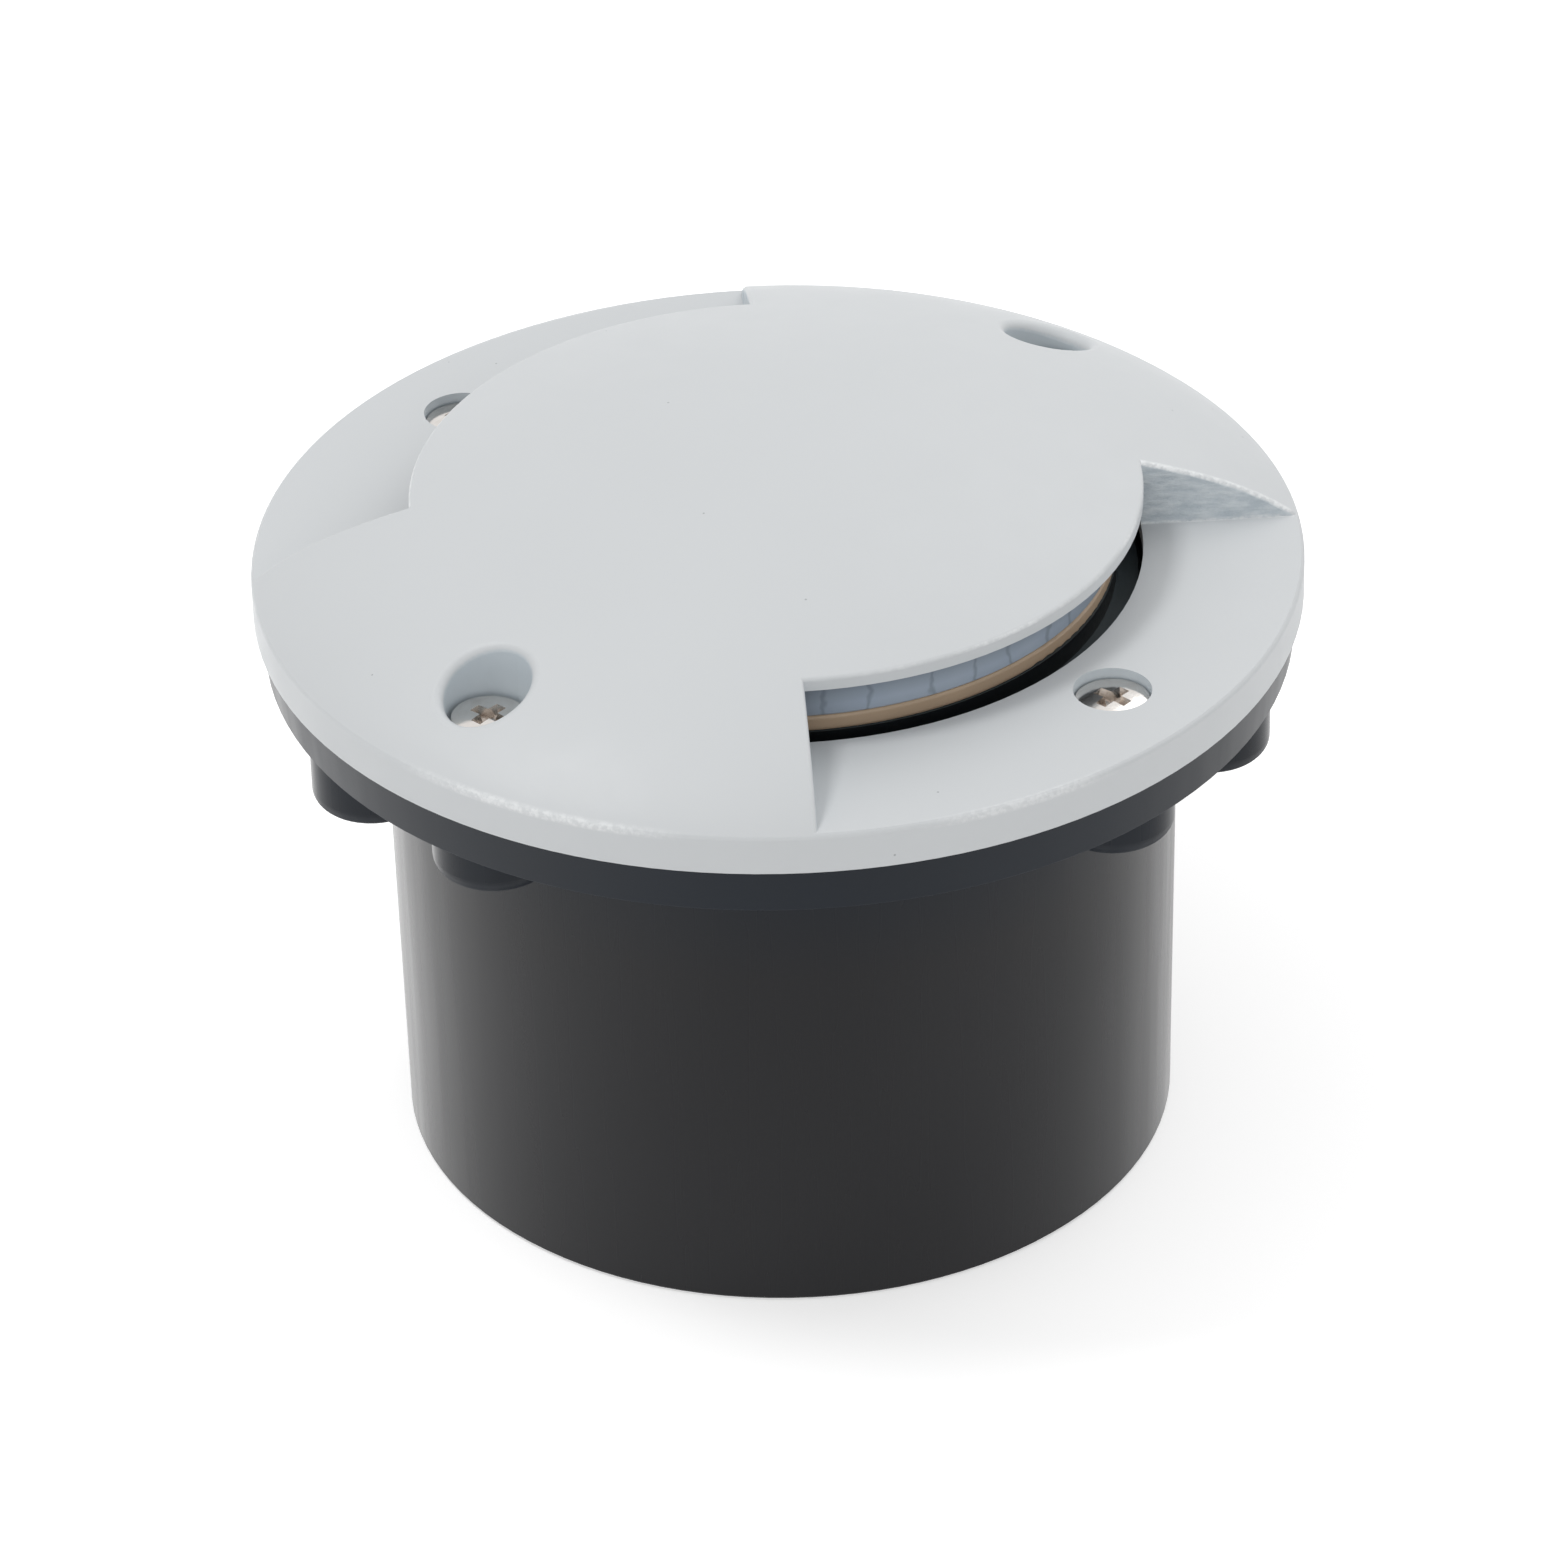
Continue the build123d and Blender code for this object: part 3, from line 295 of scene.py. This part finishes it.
def cover_paint():
    finish = Finish("cover_paint")
    x, y, z = finish.parts(finish.place)
    reach = finish.reach()
    up = finish.upness()

    # The side walls of the windows keep the casting's coarse skin, drawn out along the wall. Its
    # darker, bluer tones are painted shade.
    half_turn = radians(WINDOW_HALF_TURN)
    past_wall = finish.minus(
        finish.times(finish.size(x), cos(half_turn)),
        finish.times(finish.size(y), sin(half_turn)),
    )
    inside_rim = finish.under(reach, RIM_RADIUS)
    between = finish.times(inside_rim, finish.over(reach, LIP_RADIUS))
    steep = finish.spread(finish.size(up), 1.0, 0.0, *STEEP)
    # Painted shade on the steep walls of the pockets and bores between the lip and the rim.
    shaded_bore = finish.times(steep, inside_rim, finish.over(reach, BORE_REACH))
    wall = finish.times(steep, finish.near(past_wall, 0.0, WALL_WIDTH), between)
    drawn_out = finish.joined(finish.times(reach, SKIN_DRAW), z)
    coarse = finish.noise(SKIN_SCALE, detail=4.0, roughness=0.6, place=drawn_out)

    # Painted highlights, broken by glints, lighten the crease, the lip, and one window wall's top
    # edge and foot; the coat is a little glossier along them.
    sideways = finish.sideways()
    left_highlight = finish.times(finish.near(sideways, *LEFT_CREASE_HIGHLIGHT), LEFT_CREASE_SHARE)
    right_highlight = finish.times(finish.near(sideways, *RIGHT_CREASE_HIGHLIGHT), RIGHT_CREASE_SHARE)
    crease = finish.times(
        finish.near(reach, CREASE_RADIUS, CREASE_WIDTH),
        finish.near(z, CREASE_LEVEL, CREASE_HEIGHT),
        finish.larger(left_highlight, right_highlight),
    )
    lip = finish.times(
        finish.near(reach, LIP_RADIUS, LIP_WIDTH),
        finish.near(z, LIP_LEVEL, LIP_WIDTH),
        finish.under(past_wall, 0.0),
        finish.spread(finish.noise(LIP_STRETCHES, detail=2.0), 0.0, 1.0, *LIP_CONTRAST),
        LIP_SHARE,
    )
    wall_top = finish.times(
        finish.near(past_wall, 0.0, WALL_TOP_WIDTH),
        finish.spread(up, 0.0, 1.0, *WALL_TOP_SLOPE),
        finish.over(z, WINDOW_FLOOR_LEVEL + WALL_TOP_LIFT),
    )
    wall_foot = finish.times(
        finish.near(past_wall, 0.0, WALL_FOOT_WIDTH),
        finish.near(z, WINDOW_FLOOR_LEVEL, WALL_FOOT_HEIGHT),
        WALL_FOOT_SHARE,
    )
    near_wall = finish.spread(sideways, 0.0, 1.0, *HIGHLIGHTED_WALL_SPAN)
    wall_edge = finish.times(finish.larger(wall_top, wall_foot), between, near_wall)
    edge = finish.larger(crease, finish.larger(lip, wall_edge))
    glints = finish.spread(finish.noise(GLINT_SCALE), GLINT_LOW, 1.0, *GLINT_CONTRAST)

    # Tiny dark specks in the coat, a few on the whole cover.
    to_speck = finish.cells("Vector", finish.place, SPECK_SCALE, feature="F1")
    speck = finish.under(to_speck, SPECK_RADIUS)

    patches = finish.spread(finish.noise(COAT_PATCHES, detail=2.0), 0.0, 1.0)
    colour = finish.blend(patches, scaled(COAT, 1 - COAT_SHADE), scaled(COAT, 1 + COAT_SHADE))
    skin = finish.blend(finish.spread(coarse, 0.0, 1.0, *SKIN_CONTRAST), *SHADED_SKIN_TONES)
    # painted shade on the pockets' and bores' walls
    colour = finish.blend(shaded_bore, colour, BORE_SHADE_TINT)
    # coarse skin on the window walls, darker and bluer as painted shade
    colour = finish.blend(wall, colour, skin)
    # painted highlights along the crease, the lip and the near window wall
    colour = finish.blend(finish.times(edge, glints), colour, PAINTED_HIGHLIGHT_TINT)
    colour = finish.blend(finish.times(speck, SPECK_SHARE), colour, SPECK_TINT)
    finish.set("Base Color", colour)

    peel = finish.noise(PEEL_SCALE, detail=2.0, roughness=0.4)
    swell = finish.noise(SWELL_SCALE, detail=2.0)
    gloss = finish.times(edge, PAINTED_HIGHLIGHT_GLOSS)
    finish.set("Roughness", finish.minus(finish.spread(swell, *COAT_ROUGHNESS), gloss))
    finish.set("Specular IOR Level", COAT_SPECULAR)
    normal = finish.bump(peel, PEEL_DEPTH)
    normal = finish.bump(swell, SWELL_DEPTH, normal)
    finish.set("Normal", finish.bump(finish.times(coarse, wall), SKIN_DEPTH, normal))
    return finish


# ---- sleeve: charcoal moulded plastic, streaky from the mould, cooler towards the flange and
# dull beneath it
SLEEVE_TONE = linear("1d1d20")
FLANGE_TONE = linear("141c26")
FLANGE_FADE = (SEAT - 0.03, SEAT - 0.012)
STREAK_TINT, STREAK_SHARE = linear("141517"), 0.3
STREAK_PATCHES = 18.0
STREAK_SCALE, STREAK_STRETCH = 220.0, (1.0, 1.0, 0.06)
SLEEVE_ROUGHNESS = (0.24, 0.32)
SLEEVE_GRAIN, SLEEVE_DEPTH = 1800.0, 0.000005
SLEEVE_IOR = 1.3
UNDERSIDE_ROUGHNESS, UNDERSIDE_SLOPE = 0.4, (-0.5, -0.05)


def sleeve_plastic():
    finish = Finish("sleeve_plastic")
    level = finish.parts(finish.place)[2]
    colour = finish.blend(finish.spread(level, 0.0, 1.0, *FLANGE_FADE), SLEEVE_TONE, FLANGE_TONE)
    streaky = finish.spread(finish.noise(STREAK_PATCHES, detail=2.0), 0.0, 1.0)
    finish.set("Base Color", finish.blend(finish.times(streaky, STREAK_SHARE), colour, STREAK_TINT))
    streaks = finish.noise(STREAK_SCALE, detail=2.0, stretch=STREAK_STRETCH)
    underside = finish.spread(finish.upness(), UNDERSIDE_ROUGHNESS, 0.0, *UNDERSIDE_SLOPE)
    finish.set("Roughness", finish.plus(finish.spread(streaks, *SLEEVE_ROUGHNESS), underside))
    finish.set("IOR", SLEEVE_IOR)
    finish.set("Normal", finish.bump(finish.noise(SLEEVE_GRAIN, detail=2.0), SLEEVE_DEPTH))
    return finish


# ---- screws: bright steel; the cover's have painted shade in their recesses
STEEL_TONES = linear("d6cfc8"), linear("f0eeec")
STEEL_STAINS = 420.0
STEEL_ROUGHNESS = (0.07, 0.16)
STEEL_GRAIN, STEEL_DEPTH = 5200.0, 0.000004
# painted shade in the cover screws' recesses: its tint and how patchy it is
RECESS_SHADE_TINT = linear("8c7a6c")
RECESS_SCALE, RECESS_LOW, RECESS_CONTRAST = 900.0, 0.2, (0.4, 0.6)


def steel(name):
    """A finish with the gloss and grain of steel, and its stains as a value about one half."""
    finish = Finish(name)
    fine = finish.noise(STEEL_GRAIN, detail=2.0)
    finish.set("Metallic", 1.0)
    finish.set("Roughness", finish.spread(fine, *STEEL_ROUGHNESS))
    finish.set("Normal", finish.bump(fine, STEEL_DEPTH))
    return finish, finish.noise(STEEL_STAINS)


def stainless():
    finish, stains = steel("stainless")
    finish.set("Base Color", finish.blend(finish.spread(stains, 0.0, 1.0), *STEEL_TONES))
    return finish


def cover_screw_steel():
    finish, stains = steel("cover_screw_steel")
    x, y, z = finish.parts(finish.place)
    x, y = finish.size(x), finish.size(y)
    # Painted shade in the recess of each cover screw's head.
    recess = 0.0
    for along, across, top in ((x, y, POCKET_HEAD_TOP), (y, x, FLOOR_HEAD_TOP)):
        past = finish.minus(along, SCREW_CIRCLE)
        off_axis = finish.plus(finish.times(past, past), finish.times(across, across))
        deep = finish.spread(z, 1.0, 0.0, top - RECESS_DEPTH, top)
        recess = finish.larger(recess, finish.times(finish.under(off_axis, RECESS_REACH**2), deep))
    patchy_shade = finish.spread(finish.noise(RECESS_SCALE), RECESS_LOW, 1.0, *RECESS_CONTRAST)
    colour = finish.blend(stains, *STEEL_TONES)
    finish.set("Base Color", finish.blend(finish.times(recess, patchy_shade), colour, RECESS_SHADE_TINT))
    return finish


# ---- lens: clear faces, and a ground edge with a few chips that run down it
GLASS_TINT = linear("eef4f3")
GLASS_IOR = 1.5
SMEAR_SCALE, SMEAR_ROUGHNESS = 90.0, 0.05
GROUND_TONES, GROUND_SCALE = (linear("a3b1c3"), linear("b4c0cd")), 120.0
GROUND_ROUGHNESS = 0.35
UNLIT_TINT = linear("4a525c")
LIT_FADE, LIT_TOP = (SEAT + 0.0095, SEAT + 0.0125), 0.45
LIT_PLACE, LIT_ENDS = (0.024, 0.03), 0.55
NICK_TINT, NICK_SHARE = linear("4b5761"), 0.35
NICK_SCALE, NICK_EDGE = 140.0, (0.015, 0.07)
NICK_WANDER, WANDER_SCALE = 0.004, 260.0


def clear_glass():
    finish = Finish("clear_glass")
    x, y, z = finish.parts(finish.place)
    ground = finish.over(finish.reach(), LENS_EDGE_RADIUS)

    # The ground edge carries painted light and shade: lighter below its top, out of the lip's
    # painted shade, and most in the middle of the near window.
    lit_height = finish.spread(z, 1.0, LIT_TOP, *LIT_FADE)
    lit_width = finish.spread(finish.near(finish.sideways(), *LIT_PLACE), LIT_ENDS, 1.0, 0.0, 1.0)
    tint = finish.blend(finish.noise(GROUND_SCALE, detail=2.0), *GROUND_TONES)
    tint = finish.blend(finish.times(lit_height, lit_width), UNLIT_TINT, tint)

    # The chips stand a cell apart along the edge, and wander a little on their way down.
    along_edge = finish.times(finish.calc("ARCTAN2", y, x), LENS_EDGE_RADIUS)
    wander = finish.times(finish.noise(WANDER_SCALE, detail=2.0), NICK_WANDER)
    edge_place = finish.plus(along_edge, wander)
    to_nick = finish.cells(
        "W", edge_place, NICK_SCALE, voronoi_dimensions="1D", feature="DISTANCE_TO_EDGE"
    )
    nick = finish.spread(to_nick, 1.0, 0.0, *NICK_EDGE)
    edge_colour = finish.blend(finish.times(nick, NICK_SHARE), tint, NICK_TINT)

    finish.set("Base Color", finish.blend(ground, GLASS_TINT, edge_colour))
    finish.set("Transmission Weight", finish.minus(1.0, ground))
    finish.set("IOR", GLASS_IOR)
    smears = finish.spread(finish.noise(SMEAR_SCALE, detail=4.0), 0.0, SMEAR_ROUGHNESS)
    finish.set("Roughness", finish.plus(smears, finish.times(ground, GROUND_ROUGHNESS)))
    return finish


# ---- lens ring: black, with painted light making its level face slate
RING_BLACK = linear("101417")
RING_LIT_SLATE = linear("444d51")
RING_ROUGHNESS, RING_GRAIN = 0.42, 1400.0
LEVEL_FACE = (0.6, 0.9)


def ring_coat():
    finish = Finish("black_ring")
    # Painted light: the level face is lighter, slate, than the upright faces.
    level = finish.spread(finish.upness(), 0.0, 1.0, *LEVEL_FACE)
    finish.set("Base Color", finish.blend(level, RING_BLACK, RING_LIT_SLATE))
    finish.grain(RING_ROUGHNESS, RING_GRAIN)
    return finish


# ---- the other finishes: colour, roughness and whatever sets each apart
PLAIN_FINISHES = {
    "reflector_metal": dict(
        code="c3cbd3", roughness=0.22, metal=1.0, shade=0.05, grain=2400.0, depth=0.000004
    ),
    "brass": dict(
        code="b8934a", roughness=0.28, metal=1.0, shade=0.08, grain=3000.0, depth=0.000006
    ),
    "black_rubber": dict(code="141516", roughness=0.7, shade=0.15, grain=1500.0),
    "black_casting": dict(code="15181b", roughness=0.5, shade=0.15, grain=1100.0, depth=0.00004),
    "tan_silicone": dict(code="c2aa90", roughness=0.5, shade=0.08, grain=1200.0, depth=0.00003),
    "board_white": dict(code="ededea", roughness=0.35, shade=0.02, grain=2200.0, depth=0.000006),
    "emitter_ceramic": dict(code="d9d9d4", roughness=0.4, shade=0.03, grain=2200.0, depth=0.000006),
    "phosphor": dict(code="d9b43a", roughness=0.5, shade=0.05, grain=5000.0),
    "grey_pad": dict(code="8c9196", roughness=0.7, shade=0.05, grain=1600.0),
    "lead_red": dict(code="8e1b17", roughness=0.4, grain=1800.0, depth=0.00001),
    "lead_black": dict(code="111111", roughness=0.4, shade=0.1, grain=1800.0, depth=0.00001),
    "board_green": dict(code="1e4b33", roughness=0.3, grain=2000.0, depth=0.000006),
    "transformer_tape": dict(code="c7a93b", roughness=0.35, shade=0.05, depth=0.00003),
    "capacitor_sleeve": dict(
        code="1a1e2a", roughness=0.25, shade=0.08, grain=1200.0, depth=0.00001
    ),
    "terminal_plastic": dict(
        code="2f6a45", roughness=0.45, shade=0.05, grain=1500.0, depth=0.00001
    ),
    "gland_plastic": dict(code="1b1c1e", roughness=0.5, shade=0.1, grain=1500.0),
}
finishes = {name: plain_finish(name, **look) for name, look in PLAIN_FINISHES.items()}
finishes["cover_paint"] = cover_paint()
finishes["sleeve_plastic"] = sleeve_plastic()
finishes["stainless"] = stainless()
finishes["clear_glass"] = clear_glass()
finishes["black_ring"] = ring_coat()
node_finishes = {"cover_screws": cover_screw_steel()}

for part in frame["record"]["subparts"]:
    mesh = nodes[part["node"]].data
    finish = node_finishes.get(part["node"]) or finishes[part["material_slot"]]
    mesh.materials.clear()
    mesh.materials.append(finish.material)


# ---- studio: a white floor that keeps the light's soft shadow, and a white room
WHITE = (1.0, 1.0, 1.0, 1.0)
FLOOR_HALF = 6.0
FLOOR_WHITE = (0.9, 0.9, 0.9, 1.0)
FLOOR_SEEN = 0.48
MIRRORED_SIDES, MIRRORED_SPAN = (0.7, 0.3), (-0.1, 0.1)
MIRRORED_FLANKS, FLANK_SPAN = 0.22, (0.03, 0.09)
MIRRORED_FOOT, FOOT_SPAN = 0.3, (0.06, 0.15)
ROOM_LIGHT = 0.58
ROOM_MIRRORED = 0.95


def studio_white():
    """A matt white that reads as paper white to the camera and through glass, and is brighter to
    the left, beside the light and at its foot in what mirrors it."""
    finish = Finish("studio_white")
    finish.set("Base Color", FLOOR_WHITE)
    finish.set("Roughness", 1.0)
    finish.set("Specular IOR Level", 0.0)
    rays = finish.node("ShaderNodeLightPath")
    seen = finish.larger(rays.outputs["Is Camera Ray"], rays.outputs["Is Transmission Ray"])
    sideways = finish.sideways()
    graded = finish.spread(sideways, *MIRRORED_SIDES, *MIRRORED_SPAN)
    flanks = finish.spread(finish.size(sideways), 0.0, MIRRORED_FLANKS, *FLANK_SPAN)
    by_foot = finish.spread(finish.reach(), MIRRORED_FOOT, 0.0, *FOOT_SPAN)
    mirrored = finish.plus(graded, finish.plus(flanks, by_foot))
    mirrored = finish.times(rays.outputs["Is Glossy Ray"], mirrored)
    finish.set("Emission Color", WHITE)
    finish.set("Emission Strength", finish.plus(finish.times(seen, FLOOR_SEEN), mirrored))
    return finish.material


def place_in_scene(name, data):
    """A new object of a mesh, lamp or camera."""
    made = bpy.data.objects.new(name, data)
    bpy.context.scene.collection.objects.link(made)
    return made


floor_mesh = bpy.data.meshes.new("floor")
corners = [(x * FLOOR_HALF, y * FLOOR_HALF, 0) for x, y in ((-1, -1), (1, -1), (1, 1), (-1, 1))]
floor_mesh.from_pydata(corners, [], [(0, 1, 2, 3)])
floor_mesh.materials.append(studio_white())
floor = place_in_scene("floor", floor_mesh)

world = bpy.data.worlds.new("studio")
world.use_nodes = True
world.node_tree.nodes.clear()
room = world.node_tree.nodes.new("ShaderNodeBackground")
room.inputs["Color"].default_value = WHITE
room_rays = world.node_tree.nodes.new("ShaderNodeLightPath")
room_level = world.node_tree.nodes.new("ShaderNodeMapRange")
room_level.inputs["To Min"].default_value = ROOM_LIGHT
room_level.inputs["To Max"].default_value = ROOM_MIRRORED
world_output = world.node_tree.nodes.new("ShaderNodeOutputWorld")
world.node_tree.links.new(room_rays.outputs["Is Glossy Ray"], room_level.inputs["Value"])
world.node_tree.links.new(room_level.outputs["Result"], room.inputs["Strength"])
world.node_tree.links.new(room.outputs["Background"], world_output.inputs["Surface"])
bpy.context.scene.world = world


def lamp(name, azimuth, elevation, distance, size, power):
    """A square soft lamp that looks at the light from an azimuth and elevation about it."""
    data = bpy.data.lights.new(name, "AREA")
    data.shape = "SQUARE"
    data.size = size
    data.energy = power
    swing = Matrix.Rotation(radians(azimuth), 4, "Z")
    tilt = Matrix.Rotation(radians(90 - elevation), 4, "X")
    seat = Matrix.Translation((0, 0, SEAT))
    out = Matrix.Translation((0, 0, distance))
    place_in_scene(name, data).matrix_world = seat @ (swing @ tilt) @ out


lamp("key_lamp", CAMERA_AZIMUTH - 88, elevation=65, distance=1.2, size=0.3, power=3.8)
lamp("back_lamp", CAMERA_AZIMUTH + 140, elevation=42, distance=1.2, size=1.0, power=3.1)
lamp("front_lamp", CAMERA_AZIMUTH + 10, elevation=12, distance=1.3, size=0.9, power=1.8)


# ---- camera
def camera_matrix():
    """The camera's place: it looks at the cover's lower edge, then turns a little on its axes."""
    back = Matrix.Rotation(radians(90 - CAMERA_ELEVATION), 3, "X") @ Vector((0, 0, 1))
    right = Vector((1, 0, 0))
    look = Matrix((right, back.cross(right), back))
    roll = Matrix.Rotation(radians(CAMERA_ROLL), 3, "Z")
    yaw = Matrix.Rotation(radians(CAMERA_YAW), 3, "Y")
    pitch = Matrix.Rotation(radians(CAMERA_PITCH), 3, "X")
    facing = (roll @ yaw @ pitch @ look).transposed().to_4x4()
    round_axis = Matrix.Rotation(radians(CAMERA_AZIMUTH), 4, "Z")
    seat = Matrix.Translation((0, 0, SEAT))
    out = Matrix.Translation(back * CAMERA_DISTANCE)
    return seat @ round_axis @ out @ facing


camera_data = bpy.data.cameras.new("camera")
camera_data.sensor_width = CAMERA_SENSOR
camera_data.lens = CAMERA_LENS
camera_data.clip_end = CAMERA_CLIP
camera = place_in_scene("camera", camera_data)
camera.matrix_world = camera_matrix()
bpy.context.scene.camera = camera
bpy.context.scene.view_settings.view_transform = "Standard"
